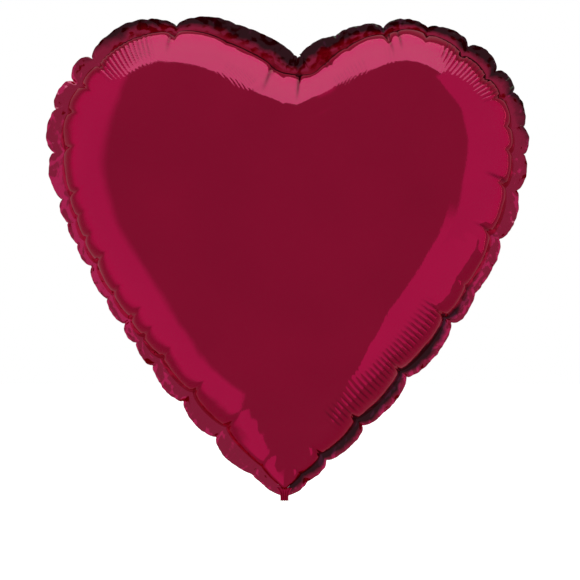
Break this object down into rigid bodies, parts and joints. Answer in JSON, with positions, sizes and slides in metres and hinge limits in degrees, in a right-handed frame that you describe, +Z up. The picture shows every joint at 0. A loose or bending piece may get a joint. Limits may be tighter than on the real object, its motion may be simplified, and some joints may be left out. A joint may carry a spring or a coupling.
{
  "type": "heart-shaped foil balloon",
  "caption": "Blown-up heart-shaped foil balloon with a puckered welded rim and a flat filling tail, folded up behind it, that holds a self-closing film valve.",
  "frame": {"origin": "middle of the tail's fold at the heart's bottom point, where the ribbon is tied", "axes": "+Z up from the bottom point to the notch, +X to the heart's right as seen from the front, front faces -Y and the tail is folded up on the +Y side"},
  "size_m": [0.4008, 0.1688, 0.4001],
  "materials": {
    "front_foil": "metallised film, mirror gloss, deep crimson",
    "rear_foil": "metallised film, mirror gloss, deep crimson",
    "rim_foil": "metallised film, heat-crumpled weld, deep crimson",
    "tail_foil": "metallised film, flat with fine creases, deep crimson",
    "valve_film": "clear soft polyethylene film"
  },
  "bodies": {
    "heart": {"front_panel": "front_foil", "rear_panel": "rear_foil", "rim_seam": "rim_foil", "neck_throat": "rim_foil", "valve_front_film": "valve_film", "valve_rear_film": "valve_film", "valve_side_welds": "valve_film"},
    "tail": {"tail_front_film": "tail_foil", "tail_rear_film": "tail_foil", "tail_side_welds": "tail_foil", "inlet_front_film": "valve_film", "inlet_rear_film": "valve_film"}
  },
  "joints": [
    {"name": "tail_fold", "type": "hinge", "parent": "heart", "child": "tail", "pos_m": [0, 0, 0], "axis": [-1, 0, 0], "range_deg": [0, 146]}
  ]
}
